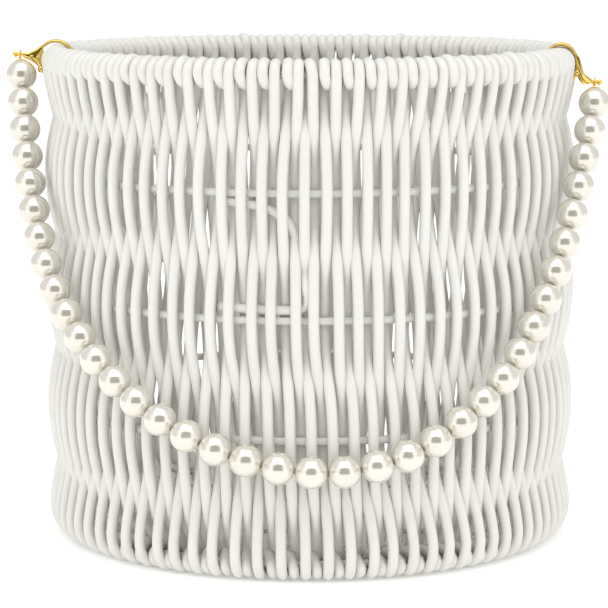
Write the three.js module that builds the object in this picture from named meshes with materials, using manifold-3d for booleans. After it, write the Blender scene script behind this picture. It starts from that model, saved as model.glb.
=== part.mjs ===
// Flower girl basket: a round wicker basket of coated cane woven over wire hoops, with a
// strand of pearls clipped to its rim as a handle. Millimetres, +Z up. The origin is on the
// basket's axis at the surface that it stands on; the strand drapes over the front, -Y.
import * as THREE from "three";
import { mergeVertices } from "three/addons/utils/BufferGeometryUtils.js";
import Module from "manifold-3d";

const wasm = await Module();
wasm.setup();

// ---- driving dimensions ----
const GAP = 0.3; // kept between pieces that touch
const CANE_D = 3.1; // woven cane
const HOOP_WIRE_D = 2.4; // coated wire of the hoops
const HOOP_R = 80; // centreline of the rim hoop and of the wall hoops
const BASE_TURN_IN = 5.5; // how much smaller the base hoop's radius is
const RIM_Z = 150.5; // height of the rim hoop's centreline
const UPPER_Z = 116; // upper wall hoop
const MIDDLE_Z = 78.6; // middle wall hoop
const LOWER_Z = 42.9; // lower wall hoop
const CORNER_R = 10; // rounding where the wall turns in to the base hoop
const BINDING_MOUTH = 64; // degrees that each binding leaves open towards the wall
const FOOT_W = 2.4; // flat that the bound base hoop stands on
const FLOOR_WIRE_D = 1.8; // ring that edges the floor
const FLOOR_T = 6; // woven floor, over all
const FLOOR_LOW_Z = 2.2; // its underside above the resting surface

const PEARL_D = 9.45; // pearls on the strand
const PEARL_PITCH = 9.75; // centre to centre
const PEARLS = 37;
const PEARL_BORE_D = 1.7;
const THREAD_D = 0.8;
const END_REACH = 7; // from the hinge line to the centre of each end pearl
const LOOP_WIRE_D = 0.7; // curled end of a bead tip, round the clasp's pin
const CUP_R = 1.5; // bead tip's cup, on the end pearl
const CUP_T = 0.3; // thickness at the cup's edge

const PIN_D = 1.2; // clasp's pin, which the handle turns on
const PIN_HEAD_D = 2.1;
const CLASP_T = 1; // metal of the hook
const CLASP_W = 3.4; // its width along the rim
const HOOK_CLEAR = 0.4; // between the hook and the bound rim
const HOOK_INNER_CLEAR = 1.3; // between the hook's arm inside the basket and the bound rim
const HOOK_CURL = 2; // its lower end curls back by this, under the gate's tip
const RIVET_DROP = 2.9; // gate's rivet below the rim hoop's centreline
const GATE_EYE_R = 1.25; // round eye of the gate
const GATE_W = 1.4; // width of the gate along the rim
const GATE_T = 1; // its thickness
const GATE_DROP = 5.5; // from the rivet down to the gate's tip
const GATE_SHORT = 2.3; // from its tip to the middle of the hook's arm inside the basket
const RIVET_D = 0.8;
const RIVET_HEAD_D = 1.6;
const RIVET_HEAD_T = 0.5;
const RIVET_CLEAR = 0.2; // round the rivet in the clasp's cheeks
const RIVET_OUT = 0.2; // rivet beyond the middle of the hook's arm
const ARM_TAIL = 1.4; // how far the hook's arm runs on below its gate or its pin

// Each pin's azimuth in degrees from the front, its distance out from the hoops' centreline and
// its height over the rim hoop.
const PINS = {
  left: [-90.4, 12.3, 1.7],
  right: [77.7744, 10.6417, -5.8724],
};
const NECK_R = { left: 1.4, right: 1.15 }; // clasps' necks, behind their pins

// The strand's route round the front, from the left pin: azimuth in degrees from the front,
// distance from the axis, height. Its own length ends at the right pin.
const ROUTE = [
  [-90.4, 92.3, 152.2],
  [-88.6, 91.6, 145.4],
  [-82.2, 90.5, 129.6],
  [-75.2, 90.2, 114],
  [-68, 90.2, 98.8],
  [-60.4, 90.2, 84.4],
  [-51, 90.2, 71.4],
  [-40.9, 90.2, 59.8],
  [-30.1, 90.2, 49.6],
  [-18.2, 90.2, 41.7],
  [-5.6, 90.2, 36.6],
  [6.8, 90.2, 35.7],
  [19, 90.2, 39.9],
  [30.4, 90.2, 49.2],
  [40.7, 90.2, 61.7],
  [49.2, 90.2, 76.4],
  [56.5, 90.2, 92],
  [63.2, 90.2, 107.6],
  [69.6, 90.3, 123.4],
  [75.8, 91, 138],
  [78, 90.6, 145.4],
];

// ---- fineness of the faceted solids ----
const ROUND = 32; // sides of the large rings
const WAVE_STEPS = 4; // between one hoop and the next
const HOOK_STEPS = 26; // along the hook
const WIRE_SIDES = 6;
const PEARL_SIDES = 8;
const SMALL_SIDES = 10;

// ---- values worked out from those ----
const WIRE_R = HOOP_WIRE_D / 2;
const BUNDLE_R = WIRE_R + CANE_D; // a hoop with the cane bound round it
const BASE_HOOP_R = HOOP_R - BASE_TURN_IN;
const BASE_Z = BUNDLE_R; // the bound base hoop rests on the surface
const WALL_LEVELS = [RIM_Z, UPPER_Z, MIDDLE_Z, LOWER_Z, BASE_Z];
const BULGE = WIRE_R + CANE_D / 2; // how far a cane swings out to pass a hoop
const WALL_TOP = RIM_Z - BUNDLE_R - GAP;
const ARM_R = HOOP_R + BUNDLE_R + HOOK_CLEAR + CLASP_T / 2; // hook's arm outside the basket
const HOOK_INNER_R = HOOP_R - BUNDLE_R - HOOK_INNER_CLEAR - CLASP_T / 2; // and inside
const GATE_R = ARM_R + RIVET_OUT; // rivet, from the basket's axis
const GATE_Z = RIM_Z - RIVET_DROP;
const GATE_REACH = GATE_R - HOOK_INNER_R - GATE_SHORT; // from the rivet inwards to the tip

const colours = { cane: 0xf0efea, wire: 0xf4f4f2, pearl: 0xf3efe6, thread: 0xeeeeea, gold: 0xd9a441 };
const finish = {
  cane: { color: colours.cane, roughness: 0.42, metalness: 0 },
  wire: { color: colours.wire, roughness: 0.3, metalness: 0 },
  pearl: { color: colours.pearl, roughness: 0.15, metalness: 0 },
  thread: { color: colours.thread, roughness: 0.6, metalness: 0 },
  gold: { color: colours.gold, roughness: 0.15, metalness: 1 },
};

const basket = new THREE.Group();

function add(name, geometry, look) {
  const mesh = new THREE.Mesh(geometry, new THREE.MeshStandardMaterial(finish[look]));
  mesh.name = name;
  basket.add(mesh);
  return mesh;
}

// ---- helpers ----
const radians = THREE.MathUtils.degToRad;

// A point from its azimuth (degrees from the front, positive to the right), radius and height.
function polar(azimuth, radius, z) {
  const a = radians(azimuth);
  return new THREE.Vector3(radius * Math.sin(a), -radius * Math.cos(a), z);
}

// A closed ring or solid from (radius, height) points, turned about +Z.
function turned(points, sides = ROUND) {
  const profile = points.map(([r, z]) => new THREE.Vector2(r, z));
  if (profile[0].x > 0) {
    profile.push(profile[0].clone());
  }
  const area = profile.reduce((sum, p, i) => {
    const q = profile[(i + 1) % profile.length];
    return sum + p.x * q.y - q.x * p.y;
  }, 0);
  if (area < 0) {
    profile.reverse();
  }
  const geometry = new THREE.LatheGeometry(profile, sides);
  geometry.rotateX(Math.PI / 2);
  return geometry;
}

function arc(centreR, centreZ, radius, fromDeg, toDeg, steps) {
  return Array.from({ length: steps + 1 }, (_, i) => {
    const a = radians(fromDeg + ((toDeg - fromDeg) * i) / steps);
    return [centreR + radius * Math.cos(a), centreZ + radius * Math.sin(a)];
  });
}

function wireRing(radius, z, diameter) {
  return turned(arc(radius, z, diameter / 2, 0, 360 - 360 / WIRE_SIDES, WIRE_SIDES - 1));
}

function toSolid(geometry) {
  const bare = geometry.clone();
  bare.deleteAttribute("normal");
  bare.deleteAttribute("uv");
  const merged = mergeVertices(bare, 1e-5);
  const vertProperties = new Float32Array(merged.attributes.position.array);
  const triVerts = new Uint32Array(merged.index.array);
  return new wasm.Manifold(new wasm.Mesh({ numProp: 3, vertProperties, triVerts }));
}

function toGeometry(solid) {
  const mesh = solid.getMesh();
  const geometry = new THREE.BufferGeometry();
  geometry.setAttribute("position", new THREE.BufferAttribute(new Float32Array(mesh.vertProperties), 3));
  geometry.setIndex(new THREE.BufferAttribute(new Uint32Array(mesh.triVerts), 1));
  geometry.computeVertexNormals();
  return geometry;
}

const united = (...parts) => parts.map(toSolid).reduce((all, one) => all.add(one));

// A round bar from one point to another, by default with flat ends.
function bar(from, to, radius, sides = SMALL_SIDES) {
  const along = to.clone().sub(from);
  const geometry = new THREE.CylinderGeometry(radius, radius, along.length(), sides);
  const turn = new THREE.Quaternion().setFromUnitVectors(new THREE.Vector3(0, 1, 0), along.normalize());
  geometry.applyQuaternion(turn);
  const middle = from.clone().add(to).multiplyScalar(0.5);
  return geometry.translate(middle.x, middle.y, middle.z);
}

// Takes a geometry from the origin to a place, with its +Z along a direction.
function aimed(geometry, direction, place) {
  const turn = new THREE.Quaternion().setFromUnitVectors(new THREE.Vector3(0, 0, 1), direction);
  return geometry.applyQuaternion(turn).translate(place.x, place.y, place.z);
}

// Takes a geometry from +X out, +Y up, +Z along the rim to a radial plane of the basket.
function stood(geometry, azimuth) {
  geometry.rotateX(Math.PI / 2);
  return geometry.rotateZ(radians(azimuth - 90));
}

// A flat strip of metal whose middle follows (radius, height) points in a radial plane.
function strip(points, thickness, width, azimuth, steps = 14) {
  const curve = new THREE.SplineCurve(points.map(([r, z]) => new THREE.Vector2(r, z)));
  const middle = curve.getPoints(steps);
  const sides = [1, -1].map((side) =>
    middle.map((p, i) => {
      const t = curve.getTangent(i / steps);
      return new THREE.Vector2(p.x - (side * t.y * thickness) / 2, p.y + (side * t.x * thickness) / 2);
    }),
  );
  const shape = new THREE.Shape([...sides[0], ...sides[1].reverse()]);
  const geometry = new THREE.ExtrudeGeometry(shape, { depth: width, bevelEnabled: false });
  geometry.translate(0, 0, -width / 2);
  return stood(geometry, azimuth);
}

// ---- woven wall ----
// 1 where the canes pass a hoop and 0 at the waist between two hoops.
function swing(z) {
  const above = WALL_LEVELS.findLastIndex((level) => level >= z);
  const top = WALL_LEVELS[Math.max(above, 0)];
  const bottom = WALL_LEVELS[Math.max(above, 0) + 1] ?? BASE_Z;
  return top === bottom ? 1 : 0.5 + 0.5 * Math.cos((2 * Math.PI * (top - z)) / (top - bottom));
}

// Heights from the top of the wall down to the rounded corner, finer nowhere than it needs.
function wallHeights(bottom) {
  const heights = [WALL_TOP];
  for (let i = 0; i < WALL_LEVELS.length - 1; i += 1) {
    const drop = WALL_LEVELS[i] - WALL_LEVELS[i + 1];
    for (let k = 0; k <= WAVE_STEPS; k += 1) {
      const z = WALL_LEVELS[i] - (drop * k) / WAVE_STEPS;
      if (z < heights.at(-1) - 1 && z > bottom + 1) {
        heights.push(z);
      }
    }
  }
  return [...heights, bottom];
}

// How far the wall has turned in at a height, towards the base hoop. It stops a little short of
// level, so that the wall is never flat there.
const LEVEL_SHARE = 0.98;
function tuck(z) {
  const rise = Math.min(1, Math.max(0, (CORNER_R + BASE_Z - z) / CORNER_R));
  return BASE_TURN_IN * (1 - Math.sqrt(1 - rise * rise * LEVEL_SHARE));
}

// The outer layer starts this far above the middle of the base hoop, and stands straight beside
// the bound hoop up to the second height.
const OUTER_START = 1;
const OUTER_BESIDE = 2.5;

// One layer of the wall: side is 1 for the canes outside the hoops and -1 for those inside.
function canes(side) {
  const bottom = side > 0 ? BASE_Z + OUTER_START : BASE_Z + BUNDLE_R + GAP;
  const heights = wallHeights(bottom);
  const near = heights.map((z) => [
    HOOP_R - tuck(z) + side * (GAP / 2 + (WIRE_R + GAP / 2) * swing(z)),
    z,
  ]);
  const far = heights.map((z) => [HOOP_R - tuck(z) + side * (CANE_D / 2 + BULGE * swing(z)), z]);
  if (side > 0) {
    const beside = BASE_HOOP_R + BUNDLE_R + GAP;
    near.splice(-1, 1, [beside, BASE_Z + OUTER_BESIDE], [beside, bottom]);
  }
  return toSolid(turned([...near, ...far.reverse()]));
}

// ---- strand's curve and the hinge line through its ends ----
const route = new THREE.CatmullRomCurve3(ROUTE.map(([azimuth, radius, z]) => polar(azimuth, radius, z)));
route.arcLengthDivisions = 2000;
const routeLength = route.getLength();
const strandLength = 2 * END_REACH + (PEARLS - 1) * PEARL_PITCH;

// The point at a distance along the strand from the left pin; past the route it runs straight.
function strandAt(distance) {
  const within = Math.min(distance, routeLength);
  return route
    .getPointAt(within / routeLength)
    .addScaledVector(route.getTangentAt(1), distance - within);
}

const pearlAt = (index) => END_REACH + index * PEARL_PITCH;
const pinAt = ([azimuth, out, up]) => polar(azimuth, HOOP_R + out, RIM_Z + up);
const hinge = { left: pinAt(PINS.left), right: pinAt(PINS.right) };
const hingeLine = hinge.right.clone().sub(hinge.left).normalize();

// The point where the hinge line passes the middle of a clasp's arm.
function pinRoot(side) {
  const step = side === "left" ? 0.01 : -0.01;
  const point = hinge[side].clone();
  while (Math.hypot(point.x, point.y) > ARM_R) {
    point.addScaledVector(hingeLine, step);
  }
  return point;
}
const roots = { left: pinRoot("left"), right: pinRoot("right") };
const claspAzimuth = (side) => THREE.MathUtils.radToDeg(Math.atan2(roots[side].x, -roots[side].y));

// ---- gate slot, through both layers of cane under the rim ----
// The gate's middle line as shares of its reach inwards and of its drop, from the back of its
// eye to its tip.
const GATE_SHARES = [
  [-0.055, -0.22],
  [0, 0],
  [0.28, 0.65],
  [0.65, 0.96],
  [1, 1],
];
const GATE_PATH = GATE_SHARES.map(([inward, down]) => [
  GATE_R - inward * GATE_REACH,
  GATE_Z - down * GATE_DROP,
]);
const SLOT_W = CLASP_W + 2 * HOOK_CLEAR;
const OVERSHOOT = 1; // of a cutter past what it cuts
function gateSlot(azimuth) {
  const low = GATE_Z - GATE_DROP - GATE_T / 2 - 2 * GAP;
  const high = WALL_TOP + OVERSHOOT;
  const depth = 2 * (BUNDLE_R + BULGE + OVERSHOOT);
  const box = new THREE.BoxGeometry(depth, high - low, SLOT_W);
  box.translate(HOOP_R, (high + low) / 2, 0);
  return toSolid(stood(box, azimuth));
}

const slots = ["left", "right"].map((side) => gateSlot(claspAzimuth(side)));
const slotted = (wall) => toGeometry(slots.reduce((left, slot) => left.subtract(slot), wall));
add("outer_canes", slotted(canes(1)), "cane");
add("inner_canes", slotted(canes(-1)), "cane");

// ---- hoops and the cane bound round the rim and the base ----
add("rim_hoop", wireRing(HOOP_R, RIM_Z, HOOP_WIRE_D), "wire");
add("upper_hoop", wireRing(HOOP_R, UPPER_Z, HOOP_WIRE_D), "wire");
add("middle_hoop", wireRing(HOOP_R, MIDDLE_Z, HOOP_WIRE_D), "wire");
add("lower_hoop", wireRing(HOOP_R, LOWER_Z, HOOP_WIRE_D), "wire");
add("base_hoop", wireRing(BASE_HOOP_R, BASE_Z, HOOP_WIRE_D), "wire");

// A C-section round a hoop, open over BINDING_MOUTH degrees centred on mouthDeg. The one that
// the basket stands on is flat at its lowest.
function binding(radius, z, mouthDeg, standing) {
  const from = mouthDeg + BINDING_MOUTH / 2;
  const to = mouthDeg + 360 - BINDING_MOUTH / 2;
  const inside = arc(radius, z, WIRE_R + GAP, to, from, 6);
  if (!standing) {
    return turned([...arc(radius, z, BUNDLE_R, from, to, 9), ...inside]);
  }
  const foot = [-1, 1].map((side) => [radius + (side * FOOT_W) / 2, z - BUNDLE_R]);
  const flank = THREE.MathUtils.radToDeg(Math.asin((FOOT_W * 0.6) / BUNDLE_R));
  const outside = [
    ...arc(radius, z, BUNDLE_R, from, 270 - flank, 4),
    ...foot,
    ...arc(radius, z, BUNDLE_R, 270 + flank, to, 4),
  ];
  return turned([...outside, ...inside]);
}
add("rim_binding", binding(HOOP_R, RIM_Z, -90, false), "cane");
add("base_binding", binding(BASE_HOOP_R, BASE_Z, 90, true), "cane");

// ---- floor ----
const FLOOR_RING_R = BASE_HOOP_R - BUNDLE_R - GAP - FLOOR_WIRE_D / 2;
const FLOOR_R = FLOOR_RING_R - FLOOR_WIRE_D / 2 - GAP;
add("floor_ring", wireRing(FLOOR_RING_R, FLOOR_LOW_Z + FLOOR_T / 2, FLOOR_WIRE_D), "wire");
add(
  "floor_weave",
  turned([
    [0, FLOOR_LOW_Z],
    [FLOOR_R, FLOOR_LOW_Z],
    [FLOOR_R, FLOOR_LOW_Z + FLOOR_T],
    [0, FLOOR_LOW_Z + FLOOR_T],
  ]),
  "cane",
);

// ---- pearl strand ----
function pearl(index) {
  const centre = strandAt(pearlAt(index));
  const half = PEARL_D / 2;
  const along = strandAt(pearlAt(index) + half).sub(strandAt(pearlAt(index) - half));
  const cut = THREE.MathUtils.radToDeg(Math.acos(PEARL_BORE_D / PEARL_D));
  return aimed(turned(arc(0, 0, half, -cut, cut, 5), PEARL_SIDES), along.normalize(), centre);
}
for (let i = 0; i < PEARLS; i += 1) {
  add(`pearl_${String(i + 1).padStart(2, "0")}`, pearl(i), "pearl");
}

const endPearl = { left: strandAt(pearlAt(0)), right: strandAt(pearlAt(PEARLS - 1)) };

// From a hinge point towards its end pearl.
const endAlong = (side) => endPearl[side].clone().sub(hinge[side]).normalize();

// The thread stops inside each end pearl's bore, where its knot sits under the cup.
const threadStart = pearlAt(0) - PEARL_D / 2 + 2 * GAP;
const threadEnd = pearlAt(PEARLS - 1) + PEARL_D / 2 - 2 * GAP;
const threadSteps = 2 * PEARLS;
const threadPoints = Array.from({ length: threadSteps + 1 }, (_, i) =>
  strandAt(threadStart + ((threadEnd - threadStart) * i) / threadSteps),
);
const threadSection = new THREE.Shape();
threadSection.absarc(0, 0, THREAD_D / 2, 0, 2 * Math.PI);
add(
  "thread",
  new THREE.ExtrudeGeometry(new THREE.Shape(threadSection.getPoints(4).slice(0, 8)), {
    steps: threadPoints.length - 1,
    extrudePath: new THREE.CatmullRomCurve3(threadPoints),
    bevelEnabled: false,
  }),
  "thread",
);

// A bead tip: a cup on the end pearl, a closed loop round the clasp's pin, and a neck between.
function beadTip(side) {
  const along = endAlong(side);
  const loopR = PIN_D / 2 + GAP + LOOP_WIRE_D / 2;
  const loop = turned(arc(loopR, 0, LOOP_WIRE_D / 2, 0, 300, 5), SMALL_SIDES);
  const seat = PEARL_D / 2 + GAP;
  const rimDeg = THREE.MathUtils.radToDeg(Math.acos(CUP_R / seat));
  const domes = [arc(0, -END_REACH, seat, 90, rimDeg, 3), arc(0, -END_REACH, seat + CUP_T, rimDeg, 90, 3)];
  domes[0][0][0] = 0;
  domes[1][3][0] = 0;
  const cup = turned(domes.flat(), SMALL_SIDES);
  const square = along.clone().addScaledVector(hingeLine, -along.dot(hingeLine)).normalize();
  const neckFrom = hinge[side].clone().addScaledVector(square, loopR);
  const neckTo = hinge[side].clone().addScaledVector(along, END_REACH - seat - CUP_T / 2);
  return united(
    aimed(loop, hingeLine, hinge[side]),
    aimed(cup, along.clone().negate(), hinge[side]),
    bar(neckFrom, neckTo, LOOP_WIRE_D / 2),
  );
}
add("bead_tip_left", toGeometry(beadTip("left")), "gold");
add("bead_tip_right", toGeometry(beadTip("right")), "gold");

// ---- clasps: hook with its pin, gate and rivet ----
// A short round bar along the rim, through the rivet's place.
function acrossGate(radius, width, azimuth) {
  const geometry = bar(new THREE.Vector3(0, 0, -width / 2), new THREE.Vector3(0, 0, width / 2), radius);
  geometry.translate(GATE_R, GATE_Z, 0);
  return stood(geometry, azimuth);
}

function clasp(side) {
  const azimuth = claspAzimuth(side);
  const root = roots[side];
  const archR = (ARM_R - HOOK_INNER_R) / 2;
  const arch = arc(ARM_R - archR, RIM_Z, archR, 180, 0, 6);
  const curlZ = GATE_Z - GATE_DROP - GATE_T / 2 - GAP - CLASP_T / 2;
  const curl = [
    [HOOK_INNER_R + HOOK_CURL, curlZ],
    [HOOK_INNER_R + 0.2 * HOOK_CURL, curlZ + 0.3 * HOOK_CURL],
    [HOOK_INNER_R, curlZ + HOOK_CURL],
  ];
  const armEnd = Math.min(GATE_Z, root.z) - ARM_TAIL;
  const hook = strip([...curl, ...arch, [ARM_R, armEnd]], CLASP_T, CLASP_W, azimuth, HOOK_STEPS);
  const out = hinge[side].clone().sub(root).normalize();
  const loopRoom = LOOP_WIRE_D / 2 + GAP;
  const neckEnd = hinge[side].clone().addScaledVector(out, -loopRoom);
  const headAt = hinge[side].clone().addScaledVector(out, loopRoom + PIN_HEAD_D / 2);
  const head = new THREE.SphereGeometry(PIN_HEAD_D / 2, SMALL_SIDES, 8);
  head.translate(headAt.x, headAt.y, headAt.z);
  const whole = united(
    hook,
    acrossGate(GATE_EYE_R, CLASP_W, azimuth),
    bar(root, neckEnd, NECK_R[side]),
    bar(root, headAt, PIN_D / 2),
    head,
  );
  const slotW = GATE_W + 2 * GAP;
  const slot = new THREE.BoxGeometry(4 * CLASP_T, 2 * (GATE_EYE_R + 2 * GAP), slotW);
  slot.translate(GATE_R, GATE_Z, 0);
  return whole
    .subtract(toSolid(stood(slot, azimuth)))
    .subtract(toSolid(acrossGate(RIVET_D / 2 + RIVET_CLEAR, 2 * CLASP_W, azimuth)));
}

function gate(side) {
  const azimuth = claspAzimuth(side);
  const blade = strip(GATE_PATH, GATE_T, GATE_W, azimuth);
  const eye = acrossGate(GATE_EYE_R, GATE_W, azimuth);
  return united(blade, eye).subtract(toSolid(acrossGate(RIVET_D / 2 + GAP, 2 * GATE_W, azimuth)));
}

function rivet(side) {
  const shank = CLASP_W / 2 + RIVET_CLEAR;
  const end = shank + RIVET_HEAD_T;
  const half = [
    [RIVET_D / 2, shank],
    [RIVET_HEAD_D / 2, shank],
    [RIVET_HEAD_D / 2, end],
    [0, end],
  ];
  const mirrored = half.map(([r, z]) => [r, -z]).reverse();
  const geometry = turned([...mirrored, ...half], SMALL_SIDES);
  geometry.translate(GATE_R, GATE_Z, 0);
  return stood(geometry, claspAzimuth(side));
}

for (const side of ["left", "right"]) {
  add(`clasp_${side}`, toGeometry(clasp(side)), "gold");
  add(`gate_${side}`, toGeometry(gate(side)), "gold");
  add(`rivet_${side}`, rivet(side), "gold");
}

export default basket;
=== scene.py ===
"""Flower girl basket: coated cane woven over white wire hoops, with a clip-on pearl strand.

Builds the basket's looks round its packed frame. Metres, +Z up; the strand drapes over the
front, -Y. A place on the wall is given as (azimuth, radius, height), with the azimuth in
degrees from the front, positive to the right.
"""

import math
import random

import bpy
import numpy as np
from bpy.props import FloatProperty, FloatVectorProperty, IntProperty, PointerProperty
from mathutils import Matrix, Vector


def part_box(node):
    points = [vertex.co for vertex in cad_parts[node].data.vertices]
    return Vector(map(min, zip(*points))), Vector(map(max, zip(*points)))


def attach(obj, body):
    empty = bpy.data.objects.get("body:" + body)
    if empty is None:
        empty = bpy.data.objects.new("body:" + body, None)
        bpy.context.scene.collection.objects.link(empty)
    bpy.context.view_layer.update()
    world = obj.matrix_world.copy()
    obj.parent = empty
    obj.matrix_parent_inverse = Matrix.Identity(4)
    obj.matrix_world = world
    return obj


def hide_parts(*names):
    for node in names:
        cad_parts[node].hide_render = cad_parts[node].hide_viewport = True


bl_info = {
    "name": "Flower Girl Basket",
    "version": (1, 0, 0),
    "blender": (4, 5, 0),
    "location": "3D View > Sidebar > Basket",
    "description": "Woven cane basket on wire hoops, with a pearl strand clipped to its rim",
    "category": "Add Mesh",
}

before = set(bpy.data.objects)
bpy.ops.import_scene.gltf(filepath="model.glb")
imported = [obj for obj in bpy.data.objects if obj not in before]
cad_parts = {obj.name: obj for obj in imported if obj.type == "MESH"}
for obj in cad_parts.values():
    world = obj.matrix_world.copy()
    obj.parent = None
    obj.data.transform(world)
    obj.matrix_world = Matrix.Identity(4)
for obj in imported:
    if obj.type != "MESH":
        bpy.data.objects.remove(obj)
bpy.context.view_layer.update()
MM = 0.001

HOOPS = ("rim_hoop", "upper_hoop", "middle_hoop", "lower_hoop", "base_hoop")
SIDES = ("left", "right")
QUARTERS = ("back_left", "front_left", "front_right", "back_right")  # of the wall, by azimuth
PEARL_NODES = sorted(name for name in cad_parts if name.startswith("pearl_"))

# The strand's route round the front, from the left pin: azimuth, radius and height in
# millimetres. It ends where its own length does, at the right pin.
STRAND_ROUTE = (
    (-90.4, 92.3, 152.2), (-88.6, 91.6, 145.4), (-82.2, 90.5, 129.6), (-75.2, 90.2, 114),
    (-68, 90.2, 98.8), (-60.4, 90.2, 84.4), (-51, 90.2, 71.4), (-40.9, 90.2, 59.8),
    (-30.1, 90.2, 49.6), (-18.2, 90.2, 41.7), (-5.6, 90.2, 36.6), (6.8, 90.2, 35.7),
    (19, 90.2, 39.9), (30.4, 90.2, 49.2), (40.7, 90.2, 61.7), (49.2, 90.2, 76.4), (56.5, 90.2, 92),
    (63.2, 90.2, 107.6), (69.6, 90.3, 123.4), (75.8, 91, 138), (78, 90.6, 145.4),
)
END_REACH = 7 * MM  # from each pin to the centre of its end pearl
PEARL_PITCH = 9.75 * MM

# How the weave leans at each hoop, from the rim down: most degrees, where, and how far it
# spreads to the left and to the right of there.
LEANS = (
    (0, 0, 30, 30), (-1.2, 30, 35, 35), (0, 0, 30, 30), (1.4, 0, 45, 45), (3.5, 12, 38, 60),
)
SPLICE_AZIMUTH = -1.07  # where the cane's two ends are laid in
CLOSE_UP_STEPS = 3.5  # the turns on the rim close up over this many steps on each side of it
RIM_SLACK = 0.16  # how much wider than tight the turns on the rim stand, as a share
BASE_SLACK = 0.8  # and the turns round the base hoop, on their outside
SQUARENESS = 0.78  # of the corner at the foot of the wall; 1 is a plain arc
LOOSE_WRAPS = (28, 47.7, 156, -163)  # azimuths of turns on the rim that stand proud
LOOSE_SLACK = 0.4  # and how much wider than tight they stand
SLACK_SPREAD = 0.12  # how unevenly the turns are drawn tight
CLOSE_UP = 0.22  # how far the turns beside the splice close up, as a share of a step
LAZINESS = 0.11  # how long a cane lies along a hoop before it slants on
CORNER_RISE = 5.6 * MM  # from the base hoop up to where a cane A starts round the corner
STAND_OFF = 12 * MM  # how far down from the rim a cane A stands off the wall
TUCK_IN = 14 * MM  # how far up from the base hoop a cane B comes in to it
SPLICE_TOP = 93 * MM  # where the cane's last end leaves the wall
SPLICE_FOOT = 86 * MM  # where its first end joins it

# The cane's last end, from the wall, round and along the top of the middle hoop.
LAST_TAIL = (
    (-0.9, 81.1, 88), (-0.6, 80.9, 85.4), (-0.9, 80.5, 83.2), (-2.4, 80.1, 82), (-5.5, 80, 81.8),
    (-12, 80, 82), (-19.6, 80, 82.4),
)
# Its first end, from under the upper hoop, round and down inside the wall.
FIRST_TAIL = (
    (-18.4, 80, 113.5), (-13.9, 80, 112.9), (-11, 80, 112.3), (-7.6, 79.9, 110.7), (-5, 79.6, 108),
    (-3.2, 78.6, 103.6), (-2.3, 77.4, 97.5), (-2.2, 76.9, 91),
)


# ---- sizes that a user would change ----
def length_of(name, description, default):
    return FloatProperty(
        name=name, description=description, default=default, unit="LENGTH", precision=5
    )


def colour_of(name, description, default):
    return FloatVectorProperty(name=name, description=description, subtype="COLOR", default=default)


class WeaveSettings(bpy.types.PropertyGroup):
    """Cane and hoops"""

    pairs: IntProperty(name="Pairs", description="Pairs of canes round the wall", default=82, min=24)
    cane_d: length_of("Cane", "Diameter of the coated cane", 3.32 * MM)
    wire_d: length_of("Hoop wire", "Diameter of the coated wire", 2.4 * MM)
    floor_cane_d: length_of("Floor cane", "Diameter of the floor's cane", 2.6 * MM)
    cross_wire_d: length_of("Floor wire", "Diameter of the floor's wires", 1.8 * MM)
    unevenness: length_of("Unevenness", "How far a cane strays along a hoop", 0.34 * MM)
    seed: IntProperty(name="Seed", description="Picks the unevenness", default=11)
    colour: colour_of("Cane colour", "Coating of the cane", (0.785, 0.777, 0.735))
    wire_colour: colour_of("Wire colour", "Coating of the wire", (0.76, 0.755, 0.73))


class StrandSettings(bpy.types.PropertyGroup):
    """Pearls, thread and clasps"""

    pearl_d: length_of("Pearl", "Diameter of a pearl", 9.74 * MM)
    bore_d: length_of("Bore", "Hole through a pearl", 1.1 * MM)
    thread_d: length_of("Thread", "Diameter of the thread", 0.8 * MM)
    nacre: colour_of("Pearl colour", "Coating of the pearls", (0.8, 0.772, 0.7))
    gold: colour_of("Gold colour", "Plating of the clasps", (0.98, 0.7, 0.21))


class StageSettings(bpy.types.PropertyGroup):
    """Camera, floor and lights"""

    lens: FloatProperty(name="Lens", description="Focal length", default=155.2, unit="CAMERA")
    distance: length_of("Distance", "Camera to the basket's axis", 0.8367)
    above_rim: length_of("Above rim", "Camera above the rim hoop", 44.66 * MM)
    aside: length_of("Aside", "Camera to the right of the axis", -1.87 * MM)
    tilt: FloatProperty(
        name="Tilt", description="Camera's downward tilt", default=math.radians(8.377), subtype="ANGLE"
    )
    side_power: FloatProperty(
        name="Side lights", description="Power of each side panel", default=1.6, unit="POWER"
    )
    top_light: FloatProperty(
        name="Top light", description="Strength of the wide soft light above", default=1.15
    )
    sky: FloatProperty(name="Surround", description="Light from the white surround", default=0.72)
    backdrop: FloatProperty(name="Backdrop", description="Brightness of the bare backdrop", default=1.05)


# ---- shader maths ----
class Value:
    """A shader socket whose sums, products and so on add Math nodes."""

    def __init__(self, shading, socket):
        self.shading = shading
        self.socket = socket

    def _math(self, operation, first, second):
        made = self.shading.node("ShaderNodeMath", {"operation": operation}, {0: first, 1: second})
        return made.outputs[0]

    def __add__(self, other):
        return self._math("ADD", self, other)

    def __mul__(self, other):
        return self._math("MULTIPLY", self, other)

    __radd__ = __add__
    __rmul__ = __mul__


class Node:
    """A shader node whose outputs are Values."""

    def __init__(self, shading, node):
        self.outputs = {}
        for index, socket in enumerate(node.outputs):
            self.outputs[index] = Value(shading, socket)
            self.outputs.setdefault(socket.name, self.outputs[index])


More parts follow.
